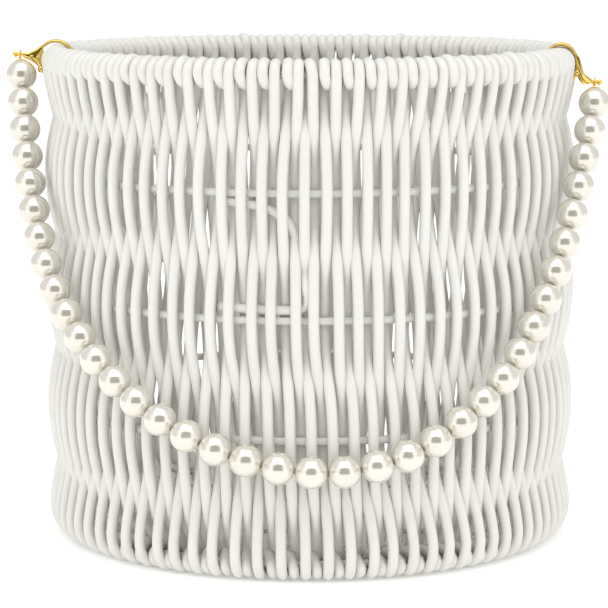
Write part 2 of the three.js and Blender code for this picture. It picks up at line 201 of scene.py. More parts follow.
class Shading:
    """A tree of shader nodes, round the one node that it all feeds."""

    def __init__(self, owner, shader):
        owner.use_nodes = True
        self.tree = owner.node_tree
        self.shader = self.tree.nodes[shader]

    def set(self, **inputs):
        """Sets the shader's sockets, named with _ for each space."""
        for name, value in inputs.items():
            self._feed(self.shader.inputs[name.replace("_", " ")], value)

    def _feed(self, socket, value):
        if isinstance(value, Value):
            self.tree.links.new(value.socket, socket)
        elif socket.type == "RGBA" and len(value) == 3:
            socket.default_value = (*value, 1)
        else:
            socket.default_value = value

    def node(self, kind, settings=None, inputs=None):
        """Adds a node: its type, its settings, and the values or links of its sockets."""
        made = self.tree.nodes.new(kind)
        for name, value in (settings or {}).items():
            if name == "stops":
                self._set_stops(made.color_ramp, value)
            else:
                setattr(made, name, value)
        for name, value in (inputs or {}).items():
            self._feed(made.inputs[name], value)
        return Node(self, made)

    @staticmethod
    def _set_stops(ramp, stops):
        while len(ramp.elements) < len(stops):
            ramp.elements.new(0.5)
        for element, (position, colour) in zip(ramp.elements, stops):
            element.position = position
            element.color = (*colour, 1)


class Finish(Shading):
    """A node material, made up from a Principled shader."""

    def __init__(self, name, **fixed):
        self.material = bpy.data.materials.new(name)
        super().__init__(self.material, "Principled BSDF")
        self.set(**fixed)

    def place(self, stretch):
        """The object's own coordinates, stretched along each axis."""
        inputs = {"Vector": self.node("ShaderNodeTexCoord").outputs["Object"], "Scale": stretch}
        return self.node("ShaderNodeMapping", {"vector_type": "POINT"}, inputs).outputs[0]

    def noise(self, stretch, detail=3.0, roughness=0.5):
        inputs = {"Vector": self.place(stretch), "Scale": 1.0, "Detail": detail, "Roughness": roughness}
        return self.node("ShaderNodeTexNoise", {}, inputs).outputs[0]

    def mixed(self, factor, first, second, blend="MIX"):
        made = self.node(
            "ShaderNodeMix",
            {"data_type": "RGBA", "blend_type": blend},
            {0: factor, 6: first, 7: second},
        )
        return made.outputs[2]

    def ramp(self, value, stops):
        return self.node("ShaderNodeValToRGB", {"stops": stops}, {0: value}).outputs[0]

    def piece_shade(self):
        """A number from 0 to 1 that differs from one cane or pearl to the next."""
        return self.node("ShaderNodeNewGeometry").outputs["Random Per Island"]

    def bump(self, height, strength, distance, under=None):
        inputs = {"Height": height, "Strength": strength, "Distance": distance}
        if under:
            inputs["Normal"] = under
        return self.node("ShaderNodeBump", {}, inputs).outputs[0]


def scaled(colour, factor):
    return tuple(min(1.0, part * factor) for part in colour)


def cane_finish(name, colour):
    """Soft white plastic coating, with fine lengthwise lines and a trace of unevenness."""
    finish = Finish(name, IOR=1.48, Specular_IOR_Level=0.55, Coat_Roughness=0.12, Coat_IOR=1.45)
    cloud = finish.noise((60, 60, 22), 4)
    lines = finish.noise((2600, 2600, 60), 2)
    grain = finish.noise((3200, 3200, 3200), 2)
    tone = finish.mixed(cloud, scaled(colour, 0.97), scaled(colour, 1.02))
    tint = finish.ramp(finish.piece_shade(), ((0, (0.975, 0.972, 0.965)), (1, (1, 1, 1))))
    finish.set(
        Base_Color=finish.mixed(1.0, tone, tint, "MULTIPLY"),
        Roughness=0.3 + cloud * 0.1 + lines * 0.06,
        Coat_Weight=0.2 + cloud * 0.15,
        Normal=finish.bump(grain, 0.25, 0.00002, finish.bump(lines, 0.35, 0.00004)),
    )
    return finish.material


def wire_finish(name, colour):
    """Thick glossy dip coating, slightly wavy."""
    finish = Finish(name, IOR=1.5, Coat_Roughness=0.06, Coat_IOR=1.5)
    wave = finish.noise((140, 140, 140), 2)
    speck = finish.noise((900, 900, 900), 3)
    finish.set(
        Base_Color=finish.mixed(speck, scaled(colour, 0.96), scaled(colour, 1.03)),
        Roughness=0.24 + wave * 0.12,
        Coat_Weight=0.6 + wave * 0.2,
        Normal=finish.bump(wave, 0.4, 0.0002),
    )
    return finish.material


def nacre_finish(name, colour):
    """Pearl essence under clear lacquer: a soft mirror that is creamy at its edge."""
    finish = Finish(
        name,
        Specular_Tint=(1.0, 0.96, 0.86, 1),
        Coat_Roughness=0.03,
        Coat_IOR=1.5,
        Sheen_Weight=0.15,
        Sheen_Roughness=0.4,
        Sheen_Tint=(1.0, 0.97, 0.9, 1),
    )
    cloud = finish.noise((210, 210, 210), 4)
    shimmer = finish.noise((1500, 1500, 1500), 3, 0.7)
    tone = finish.mixed(cloud, scaled(colour, 0.97), scaled(colour, 1.03))
    tint = finish.ramp(finish.piece_shade(), ((0, (0.97, 0.965, 0.95)), (1, (1, 1, 1))))
    finish.set(
        Base_Color=finish.mixed(1.0, tone, tint, "MULTIPLY"),
        Metallic=0.5 + cloud * 0.14,
        Roughness=0.13 + shimmer * 0.06,
        Coat_Weight=0.75 + shimmer * 0.15,
        Normal=finish.bump(shimmer, 0.12, 0.00004),
    )
    return finish.material


def gold_finish(name, colour):
    """Bright plating with hair-fine polishing marks."""
    finish = Finish(name, Specular_Tint=(1.0, 0.93, 0.7, 1))
    marks = finish.noise((500, 4200, 700), 3)
    cloud = finish.noise((300, 300, 300), 3)
    finish.set(
        Base_Color=finish.mixed(cloud, scaled(colour, 0.86), colour),
        Metallic=0.97 + cloud * 0.03,
        Roughness=0.05 + marks * 0.09,
        Normal=finish.bump(marks, 0.2, 0.00003),
    )
    return finish.material


def thread_finish(name):
    """Twisted beading thread."""
    finish = Finish(name, Sheen_Weight=0.3)
    twist = finish.noise((2400, 2400, 2400), 2)
    finish.set(
        Base_Color=finish.mixed(twist, (0.7, 0.68, 0.62), (0.9, 0.89, 0.85)),
        Roughness=0.5 + twist * 0.3,
        Normal=finish.bump(twist, 0.6, 0.0001),
    )
    return finish.material


# ---- lines, tubes and turned shapes ----
def polar(azimuth, radius, height):
    angle = math.radians(azimuth)
    return Vector((radius * math.sin(angle), -radius * math.cos(angle), height))


def around(points):
    """(azimuth, radius, height) points, the last two in millimetres."""
    return [polar(azimuth, radius * MM, height * MM) for azimuth, radius, height in points]


def hoop_place(node, wire_d):
    """A hoop's radius and height along its centreline."""
    low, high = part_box(node)
    return (high[0] - low[0] - wire_d) / 2, (high[2] + low[2]) / 2


def smooth_run(points, step):
    """Evenly spaced points on a centripetal curve through the given ones."""
    knots = [Vector(p) for p in points]
    knots = [2 * knots[0] - knots[1], *knots, 2 * knots[-1] - knots[-2]]
    dense = []
    for p0, p1, p2, p3 in zip(knots, knots[1:], knots[2:], knots[3:]):
        gaps = [max(1e-9, (b - a).length ** 0.5) for a, b in ((p0, p1), (p1, p2), (p2, p3))]
        m1 = (p1 - p0) / gaps[0] - (p2 - p0) / (gaps[0] + gaps[1]) + (p2 - p1) / gaps[1]
        m2 = (p2 - p1) / gaps[1] - (p3 - p1) / (gaps[1] + gaps[2]) + (p3 - p2) / gaps[2]
        m1 *= gaps[1]
        m2 *= gaps[1]
        for i in range(24):
            t = i / 24
            dense.append(
                (2 * t**3 - 3 * t**2 + 1) * p1
                + (t**3 - 2 * t**2 + t) * m1
                + (3 * t**2 - 2 * t**3) * p2
                + (t**3 - t**2) * m2
            )
    dense.append(knots[-2])
    lengths = np.cumsum([0.0] + [(b - a).length for a, b in zip(dense, dense[1:])])
    count = max(2, round(lengths[-1] / step) + 1)
    wanted = np.linspace(0, lengths[-1], count)
    axes = [np.interp(wanted, lengths, [p[i] for p in dense]) for i in range(3)]
    return [Vector(p) for p in zip(*axes)]


def new_object(name, vertices, faces, finish, body, slot, replaced=()):
    mesh = bpy.data.meshes.new(name)
    mesh.from_pydata(vertices, [], faces)
    mesh.polygons.foreach_set("use_smooth", [len(face) < 5 for face in faces])
    mesh.materials.append(finish)
    mesh.update()
    piece = bpy.data.objects.new(name, mesh)
    bpy.context.collection.objects.link(piece)
    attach(piece, body)
    if replaced:
        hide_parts(*replaced)
    return piece


def tubes(runs, radius, sides=12, closed=False):
    """Vertices and faces of round tubes along runs of points. radius(u) is for u from 0 to 1."""
    vertices, faces = [], []
    for run in runs:
        count = len(run)
        across = None
        start = len(vertices)
        for i, point in enumerate(run):
            before = run[i - 1] if i or closed else point
            after = run[(i + 1) % count] if i < count - 1 or closed else point
            along = (after - before).normalized()
            if across is None:
                across = along.orthogonal().normalized()
            across = (across - along * across.dot(along)).normalized()
            other = along.cross(across)
            size = radius(i / (count - 1)) if callable(radius) else radius
            for k in range(sides):
                a = 2 * math.pi * k / sides
                vertices.append(point + across * (size * math.cos(a)) + other * (size * math.sin(a)))
        rings = count if closed else count - 1
        shift = 0
        for i in range(rings):
            here = start + i * sides
            there = start + ((i + 1) % count) * sides
            if closed and i == rings - 1:
                shift = nearest_turn(vertices, here, there, sides)
            for k in range(sides):
                n = (k + 1) % sides
                faces.append((here + k, here + n, there + (n + shift) % sides, there + (k + shift) % sides))
        if not closed:
            for last, order in ((start, -1), (start + (count - 1) * sides, 1)):
                faces.append(tuple(range(last, last + sides))[::order])
    return vertices, faces


def nearest_turn(vertices, here, there, sides):
    """How far a closed tube's last ring is turned from its first."""
    gaps = [(vertices[here] - vertices[there + k]).length for k in range(sides)]
    return gaps.index(min(gaps))


def rounded_end(radius, length):
    """A tube radius that rounds off over its last part."""
    share = min(0.4, radius / length)

    def size(u):
        inside = min(u, 1 - u) / share
        return radius * math.sqrt(max(0.02, 1 - max(0.0, 1 - inside) ** 2))

    return size


def turned(profile, sides):
    """Vertices and faces of (radius, height) points turned about Z; radius 0 closes an end."""
    vertices, faces, rings = [], [], []
    for radius, height in profile:
        if radius == 0:
            rings.append([len(vertices)])
            vertices.append(Vector((0, 0, height)))
        else:
            rings.append(list(range(len(vertices), len(vertices) + sides)))
            for k in range(sides):
                a = 2 * math.pi * k / sides
                vertices.append(Vector((radius * math.cos(a), radius * math.sin(a), height)))
    for low, high in zip(rings, rings[1:]):
        for k in range(sides):
            n = (k + 1) % sides
            if len(low) == 1:
                faces.append((low[0], high[n], high[k]))
            elif len(high) == 1:
                faces.append((low[k], low[n], high[0]))
            else:
                faces.append((low[k], low[n], high[n], high[k]))
    return vertices, faces


def aimed(direction, place):
    """A matrix that takes +Z to a direction and the origin to a place."""
    turn = direction.to_track_quat("Z", "Y").to_matrix().to_4x4()
    return Matrix.Translation(place) @ turn


def gathered(parts):
    """Joins (vertices, faces) parts into one."""
    vertices, faces = [], []
    for some_vertices, some_faces in parts:
        base = len(vertices)
        vertices.extend(some_vertices)
        faces.extend(tuple(base + i for i in face) for face in some_faces)
    return vertices, faces


def moved(part, matrix):
    return [matrix @ v for v in part[0]], part[1]


# ---- the weave ----
class Weave:
    """Where each cane runs. Cane A is outside at the rim, the middle and the base, and cane B
    at the upper and lower hoops; a pair of them shares each step round the wall."""

    def __init__(self, settings):
        self.cane_r = settings.cane_d / 2
        places = [hoop_place(node, settings.wire_d) for node in HOOPS]
        self.radius = places[0][0]
        self.base_radius = places[-1][0]
        self.levels = [height for _, height in places]
        self.bulge = settings.wire_d / 2 + self.cane_r
        self.foot = self.levels[-1] - self.cane_r  # down from the base hoop to a cane that stands
        self.pairs = settings.pairs
        self.pitch = 360 / settings.pairs
        self.corner = self.levels[-1] + CORNER_RISE
        self.splice = settings.pairs // 2
        stray = math.degrees(settings.unevenness / self.radius)
        rng = random.Random(settings.seed)
        self.strays = [
            [[rng.gauss(0, stray) for _ in self.levels] for _ in range(self.pairs)] for _ in range(2)
        ]
        self.slack = [[rng.uniform(0, SLACK_SPREAD) for _ in range(4)] for _ in range(self.pairs)]

    def lean(self, level, azimuth):
        most, centre, left, right = LEANS[level]
        away = azimuth - centre
        share = min(1.0, abs(away) / (left if away < 0 else right))
        return most * (0.5 + 0.5 * math.cos(math.pi * share))

    def azimuth(self, kind, k, level):
        """Where cane A (kind 0) or B (kind 1) of pair k passes a hoop."""
        step = k - self.splice + (kind - 1) / 2
        nominal = SPLICE_AZIMUTH + step * self.pitch
        found = nominal + self.lean(level, nominal)
        if level == 0 and 0 < abs(step) < CLOSE_UP_STEPS:
            found -= math.copysign(CLOSE_UP * self.pitch * (1 - abs(step) / CLOSE_UP_STEPS), step)
        share = (0.5 if level in (0, 4) else 1.0) * (0.6 + 0.4 * math.cos(math.radians(nominal)))
        return found + share * self.strays[kind][k % self.pairs][level]

    def wall_point(self, kind, k, height):
        levels = self.levels
        j = max(i for i in range(4) if levels[i] >= height - 1e-9)
        t = (levels[j] - height) / (levels[j] - levels[j + 1])
        swing = (-1) ** (j + kind) * math.cos(math.pi * t)
        eased = t - LAZINESS * math.sin(2 * math.pi * t)
        here, there = self.azimuth(kind, k, j), self.azimuth(kind, k, j + 1)
        return polar(here + (there - here) * eased, self.radius + self.bulge * swing, height)

    def wall(self, kind, k, top, bottom, step=1.7 * MM):
        count = round((top - bottom) / step) + 1
        return [self.wall_point(kind, k, h) for h in np.linspace(top, bottom, count)]

    def round_hoop(self, level, turns, loose=lambda turn: 1.0):
        """Points round a hoop's wire: (turn in degrees, azimuth) stops, eased between."""
        radius = self.radius if level == 0 else self.base_radius
        points = []
        for (turn_0, azimuth_0), (turn_1, azimuth_1) in zip(turns, turns[1:]):
            count = max(1, round(abs(turn_1 - turn_0) / 15))
            for i in range(count):
                t = i / count
                points.append((turn_0 + (turn_1 - turn_0) * t, azimuth_0 + (azimuth_1 - azimuth_0) * t))
        points.append(turns[-1])
        run = []
        for turn, azimuth in points:
            reach = self.bulge * loose(turn)
            rise = reach if level == 0 else self.foot
            a = math.radians(turn)
            run.append(polar(azimuth, radius + reach * math.cos(a), self.levels[level] + rise * math.sin(a)))
        return run

    def cane_a(self, k):
        """Down the outside from the rim, round the corner and under the base hoop."""
        run = self.wall(0, k, self.levels[0], self.corner)
        self.swell(run)
        out = Vector(run[-1][:2]).length - self.base_radius
        drop = self.corner - (self.levels[-1] - self.foot)
        azimuth = self.azimuth(0, k, 4)
        near = math.degrees(math.atan2(run[-1].x, -run[-1].y))
        near = azimuth + (near - azimuth + 180) % 360 - 180
        for i in range(1, 9):
            a = math.pi / 2 * i / 8
            here = near + (azimuth - near) * (i / 8)
            outward, down = math.cos(a) ** SQUARENESS, math.sin(a) ** SQUARENESS
            run.append(polar(here, self.base_radius + out * outward, self.corner - drop * down))
        return run

    def swell(self, run):
        """Lets the top of a cane stand off the rim hoop as its turn does."""
        for point in run:
            share = max(0.0, 1 - (self.levels[0] - point.z) / STAND_OFF)
            out = Vector((point.x, point.y)).normalized() * (self.bulge * RIM_SLACK * share * share)
            point.x += out.x
            point.y += out.y

    def base_turns(self, k):
        """From under the base hoop, up inside, over, round outside as a short turn, and in."""
        first, second = self.azimuth(0, k, 4), self.azimuth(1, k, 4)
        slack = self.slack[k][0]
        return self.round_hoop(
            4,
            [(-90, first), (-180, first), (-360, second), (-450, second), (-540, second)],
            lambda turn: 1 + (BASE_SLACK + slack) * max(0.0, math.cos(math.radians(turn))) * (turn < -200),
        )

    def cane_b(self, k, top=None):
        """Up the inside from the base hoop to the rim."""
        run = self.wall(1, k, top or self.levels[0], self.levels[-1])
        inward = self.radius - self.base_radius
        for point in run:
            share = min(1.0, max(0.0, (point.z - self.levels[-1]) / TUCK_IN))
            tuck = inward * (1 - share * share * (3 - 2 * share))
            flat = Vector((point.x, point.y)).normalized() * tuck
            point.x -= flat.x
            point.y -= flat.y
        return run

    def lengths(self, k):
        """The cane from under the base hoop, up inside, over the rim and down as the next A."""
        down = self.cane_a((k + 1) % self.pairs)
        if k == self.splice:
            foot = self.base_turns(k) + self.cane_b(k, SPLICE_FOOT)[::-1]
            return [foot, self.rim_turns(k) + down[1:]]
        up = self.cane_b(k)[::-1]
        return [self.base_turns(k) + up[1:-1] + self.rim_turns(k) + down[1:]]

    def rim_turns(self, k):
        """Cane B of pair k over the rim, round as a short turn, and over again as the next A."""
        here, there = self.azimuth(1, k, 0), self.azimuth(0, (k + 1) % self.pairs, 0)
        if there < here - 180:
            there += 360
        if k == self.splice:
            stops = [(180, here), (90, (here + there) / 2), (0, there)]
            return self.round_hoop(0, stops, lambda turn: 1 + RIM_SLACK * math.cos(math.radians(turn / 2)))
        proud = any(abs((here - azimuth + 180) % 360 - 180) < self.pitch / 2 for azimuth in LOOSE_WRAPS)
        slack = LOOSE_SLACK if proud else RIM_SLACK + self.slack[k][1]

        def loose(turn):
            if turn < -180:
                return 1 + RIM_SLACK * (1 + math.cos(math.radians(turn))) / 2
            return 1 + slack * max(0.0, math.cos(math.radians((turn - 40) * 0.64)))

        stops = [(180, here), (0, here), (-50, here + 0.1 * self.pitch), (-215, there), (-360, there)]
        return self.round_hoop(0, stops, loose)


class BASKET_OT_hoops(bpy.types.Operator):
    """Make the five coated wire hoops and the floor's ring"""

    bl_idname = "basket.hoops"
    bl_label = "Hoops"

    def execute(self, context):
        settings = context.scene.basket_weave
        finish = wire_finish("glossy_wire", settings.wire_colour)
        for node in (*HOOPS, "floor_ring"):
            wire_d = settings.cross_wire_d if node == "floor_ring" else settings.wire_d
            radius, height = hoop_place(node, wire_d)
            run = [polar(360 * i / 240, radius, height) for i in range(240)]
            new_object(f"{node}_wire", *tubes([run], wire_d / 2, 16, True), finish, "basket", "wire", [node])
        return {"FINISHED"}


class BASKET_OT_wall(bpy.types.Operator):
    """Weave the wall, bind the rim and the base, and lay in the cane's two ends"""

    bl_idname = "basket.wall"
    bl_label = "Woven wall"

    def execute(self, context):
        settings = context.scene.basket_weave
        weave = Weave(settings)
        finish = cane_finish("coated_cane", settings.colour)
        splice = weave.splice
        last = around(LAST_TAIL)
        first = around(FIRST_TAIL)
        lengths = [[] for _ in QUARTERS]
        for k in range(weave.pairs):
            lengths[k * len(QUARTERS) // weave.pairs].extend(weave.lengths(k))
        for name, runs in zip(QUARTERS, lengths):
            part = tubes(runs, weave.cane_r, 10)
            piece = new_object(f"woven_cane_{name}", *part, finish, "basket", "cane")
            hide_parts("outer_canes", "inner_canes", "rim_binding", "base_binding")
        down = weave.wall(1, splice, weave.levels[0], SPLICE_TOP)
        ending = smooth_run([*down[:: len(down) // 12], *last], 1.2 * MM)
        starting = smooth_run([*first, weave.wall_point(1, splice, SPLICE_FOOT)], 1.2 * MM)

        def thinned(u):
            """A cane that is pressed a little thinner towards its end."""
            return weave.cane_r * (1 - 0.16 * min(1.0, max(0.0, (u - 0.55) / 0.12)))

        new_object("last_cane_end", *tubes([ending], thinned), finish, "basket", "cane")
        part = tubes([starting], lambda u: thinned(1 - u))
        new_object("first_cane_end", *part, finish, "basket", "cane")
        return {"FINISHED"}


FLOOR_WIRES = (-0.8, -0.48, -0.16, 0.16, 0.48, 0.8)  # from the middle, as shares of the ring
FLOOR_PACKING = 2.12  # from one floor cane to the next, in radii of the cane
FLOOR_INSET = 0.4 * MM  # from the ring to where its canes curl over
FLOOR_STRAY = 0.1 * MM


class BASKET_OT_floor(bpy.types.Operator):
    """Weave the floor: canes from front to back over and under cross wires"""

    bl_idname = "basket.floor"
    bl_label = "Woven floor"

    def execute(self, context):
        settings = context.scene.basket_weave
        ring_r, height = hoop_place("floor_ring", settings.cross_wire_d)
        cane_r = settings.floor_cane_d / 2
        wire_r = settings.cross_wire_d / 2
        swing = wire_r + cane_r
        wires = [ring_r * share for share in FLOOR_WIRES]
        gap = wires[1] - wires[0]
        rng = random.Random(settings.seed + 1)

        def wave(y):
            return math.cos(math.pi * (y - wires[0]) / gap)

        runs = []
        half = int(ring_r / (cane_r * FLOOR_PACKING))
        for i in range(-half + 1, half):
            x = i * cane_r * FLOOR_PACKING + rng.gauss(0, FLOOR_STRAY)
            reach = math.sqrt(max(0.0, (ring_r - FLOOR_INSET) ** 2 - x * x))
            lift = swing if i % 2 else -swing
            stops = np.arange(-reach, reach, 1.6 * MM)
            run = [Vector((x, y, height + lift * wave(y))) for y in stops]
            if len(run) > 4:
                for end, forth in ((run[0], -1), (run[-1], 1)):
                    up = 1 if end.z > height else -1
                    curl = []
                    for a in (math.radians(turn) for turn in range(0, 200, 25)):
                        y = forth * (reach + swing * math.sin(a))
                        curl.append(Vector((x + a * 0.3 * MM, y, height + up * swing * math.cos(a))))
                    run = run[1:-1] + curl if forth > 0 else curl[::-1] + run
                runs.append(run)
        cane = cane_finish("floor_cane", settings.colour)
        new_object("floor_canes", *tubes(runs, cane_r, 10), cane, "basket", "cane", ["floor_weave"])
        wire = wire_finish("floor_wire", settings.wire_colour)
        across = []
        for y in wires:
            reach = math.sqrt(ring_r**2 - y * y)
            across.append([Vector((x, y, height)) for x in np.linspace(-reach, reach, 30)])
        new_object("floor_cross_wires", *tubes(across, wire_r, 10), wire, "basket", "wire")
        return {"FINISHED"}


# ---- the strand ----
class Strand:
    """The thread's curve, with distances along it from the left pin."""

    def __init__(self):
        self.points = smooth_run(around(STRAND_ROUTE), 0.4 * MM)
        self.lengths = np.cumsum([0.0] + [(b - a).length for a, b in zip(self.points, self.points[1:])])
        self.length = 2 * END_REACH + (len(PEARL_NODES) - 1) * PEARL_PITCH

    def at(self, distance):
        if distance > self.lengths[-1]:
            along = (self.points[-1] - self.points[-3]).normalized()
            return self.points[-1] + along * (distance - self.lengths[-1])
        return Vector([np.interp(distance, self.lengths, [p[i] for p in self.points]) for i in range(3)])

    def pearl(self, index):
        return END_REACH + index * PEARL_PITCH

    def pins(self):
        return {"left": self.at(0), "right": self.at(self.length)}


class BASKET_OT_thread(bpy.types.Operator):
    """String the thread from one end pearl to the other"""

    bl_idname = "basket.thread"
    bl_label = "Thread"

    def execute(self, context):
        settings = context.scene.basket_strand
        strand = Strand()
        start = strand.pearl(0) - settings.pearl_d / 2 + 0.6 * MM
        end = strand.length - start
        curve = bpy.data.curves.new("thread_line", "CURVE")
        curve.dimensions = "3D"
        curve.bevel_depth = settings.thread_d / 2
        curve.bevel_resolution = 3
        curve.use_fill_caps = True
        spline = curve.splines.new("POLY")
        stops = np.linspace(start, end, 150)
        spline.points.add(len(stops) - 1)
        for point, distance in zip(spline.points, stops):
            point.co = (*strand.at(distance), 1)
        curve.materials.append(thread_finish("beading_thread"))
        thread = bpy.data.objects.new("thread_line", curve)
        context.collection.objects.link(thread)
        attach(thread, "handle")
        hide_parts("thread")
        return {"FINISHED"}


class BASKET_OT_pearls(bpy.types.Operator):
    """Thread the pearls on the strand"""

    bl_idname = "basket.pearls"
    bl_label = "Pearls"

    def execute(self, context):
        settings = context.scene.basket_strand
        strand = Strand()
        radius, bore = settings.pearl_d / 2, settings.bore_d / 2
        lip = math.asin(bore * 1.35 / radius)
        outside = np.linspace(math.pi / 2 - lip, lip - math.pi / 2, 34)
        profile = [(radius * math.cos(a), radius * math.sin(a)) for a in outside]
        top = profile[0][1]
        profile = [(bore, 0), (bore, top - 0.35 * MM), *profile, (bore, 0.35 * MM - top), (bore, 0)]
        bead = turned(profile[::-1], 48)
        parts = []
        for index in range(len(PEARL_NODES)):
            distance = strand.pearl(index)
            along = strand.at(distance + radius) - strand.at(distance - radius)
            parts.append(moved(bead, aimed(along.normalized(), strand.at(distance))))
        finish = nacre_finish("pearl_nacre", settings.nacre)
        new_object("pearls", *gathered(parts), finish, "handle", "pearl", PEARL_NODES)
        return {"FINISHED"}


# ---- clasps ----
# Each clasp's outline as (radius, height) in millimetres: the hook's middle line from its tip
# inside the basket, over the rim, and the body's edge; then the ridge along the body.
HOOK_INSIDE = ((75.7, 142.4), (74.2, 143.6), (73.9, 147), (74.2, 150.5), (76, 154))
CLASP_SHAPES = {
    "left": {
        "hook": (*HOOK_INSIDE, (79.2, 156.3), (82.4, 156.3), (85.2, 154.6), (87.4, 153.4)),
        "body": (
            (84.6, 155.2), (87, 154), (89.4, 152.9), (91.6, 152.7), (92, 152), (91.2, 151.5),
            (89, 150.4), (86.7, 149), (84.9, 146.6), (84.75, 148), (85, 151), (84.7, 153),
        ),
        "ridge": ((91.2, 152), (89.6, 151.2), (88.3, 151.9), (87, 150.9), (85.9, 151.8)),
    },
    "right": {
        "hook": (*HOOK_INSIDE, (79.2, 156.2), (82.2, 155.9), (84.6, 153.4), (85.6, 150.5)),
        "body": (
            (84.6, 153.6), (85.9, 152.4), (86.8, 149.4), (87.3, 147.4), (88.5, 146.2), (90, 145.4),
            (90.2, 144.6), (88.9, 144), (87.3, 143.9), (86.2, 145), (85.2, 146.3), (84.9, 150),
        ),
        "ridge": ((89.4, 144.6), (88, 144.9), (87, 146.2), (86.2, 148), (85.7, 150)),
    },
}
BODY_W = 2.6  # width of the body along the rim, in millimetres
RIDGE_ASIDE = 1.45  # from its middle to each ridge
# The rivet's place, then the gate from there to its tip, the section of its eye and half of the
# rivet's own section, all as (radius, height) in millimetres.
GATE_PLACE = (85.4, 147.6)
GATE_LINE = ((0, 0), (-2.6, -3.6), (-6, -5.3), (-9.1, -5.5))
GATE_EYE = ((0.5, -0.6), (1.2, -0.6), (1.2, 0.6), (0.5, 0.6), (0.5, -0.6))
RIVET_HALF = ((0.4, 0), (0.4, 1.85), (0.8, 1.95), (0.75, 2.25), (0.4, 2.42), (0, 2.45))
# The pin, from inside the body to the middle of its head.
PIN_BACK = 3 * MM
PIN_OUT = 1.5 * MM
PIN_R = 0.55 * MM
PIN_HEAD_R = 0.9 * MM
# The bead tip's loop round the pin and its cup on the end pearl.
TIP_LOOP_R = 1.15 * MM
TIP_STEPS = 40  # points round the loop
TIP_WIRE_R = 0.32 * MM
TIP_NECK_R = 0.34 * MM
CUP_GAP = 0.05 * MM
CUP_ANGLE = 0.42  # from the cup's middle to its edge, in radians at the pearl's centre
CUP_THICK = 0.28 * MM


def flat_line(points, azimuth, aside=0.0):
    """(radius, height) points in millimetres, in the radial plane at an azimuth."""
    along = polar(azimuth + 90, aside * MM, 0)
    return [polar(azimuth, radius * MM, height * MM) + along for radius, height in points]


def plate(outline, azimuth, thickness):
    """A plate with rounded edges, cut to an outline in a radial plane."""
    count = len(outline)
    front = flat_line(outline, azimuth, thickness / 2)
    back = flat_line(outline, azimuth, -thickness / 2)
    middle = [sum(side, Vector()) / count for side in (front, back)]
    bulged = 0.25 * thickness * MM * (front[0] - back[0]).normalized()
    vertices = [*front, *back, middle[0] + bulged, middle[1] - bulged]
    faces = []
    for i in range(count):
        n = (i + 1) % count
        faces.append((n, i, count + i, count + n))
        faces.append((i, n, 2 * count))
        faces.append((count + n, count + i, 2 * count + 1))
    return vertices, faces


def strip_line(run, across, size, sides=14):
    """A tapering bar of oval section. size(u) gives its half widths along across and square to it."""
    vertices, faces = [], []
    count = len(run)
    for i, point in enumerate(run):
        along = (run[min(i + 1, count - 1)] - run[max(i - 1, 0)]).normalized()
        up = along.cross(across).normalized()
        wide, thick = size(i / (count - 1))
        for k in range(sides):
            a = 2 * math.pi * k / sides
            vertices.append(point + across * (wide * math.cos(a)) + up * (thick * math.sin(a)))
    for i in range(count - 1):
        for k in range(sides):
            n = (k + 1) % sides
            faces.append((i * sides + k, i * sides + n, (i + 1) * sides + n, (i + 1) * sides + k))
    faces.append(tuple(range(sides))[::-1])
    faces.append(tuple(range((count - 1) * sides, count * sides)))
    return vertices, faces


def ball(radius, place):
    steps = [math.pi * (i / 10 - 0.5) for i in range(11)]
    profile = [(radius * math.cos(a), radius * math.sin(a)) for a in steps]
    profile[0] = (0, -radius)
    profile[-1] = (0, radius)
    return moved(turned(profile, 20), Matrix.Translation(place))


def rounded(piece, bevel):
    edge = piece.modifiers.new("edge", "BEVEL")
    edge.width = bevel
    edge.segments = 2
    soft = piece.modifiers.new("soft", "SUBSURF")
    soft.levels = 2
    soft.render_levels = 2


class Clasp:
    """A clasp's places: its radial plane and its pin."""

    def __init__(self, side):
        self.side = side
        low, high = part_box(f"rivet_{side}")
        middle = (Vector(low) + Vector(high)) / 2
        self.azimuth = math.degrees(math.atan2(middle.x, -middle.y))
        self.across = polar(self.azimuth + 90, 1, 0)
        pins = Strand().pins()
        self.pin = pins[side]
        other = pins["right" if side == "left" else "left"]
        self.outward = (self.pin - other).normalized()


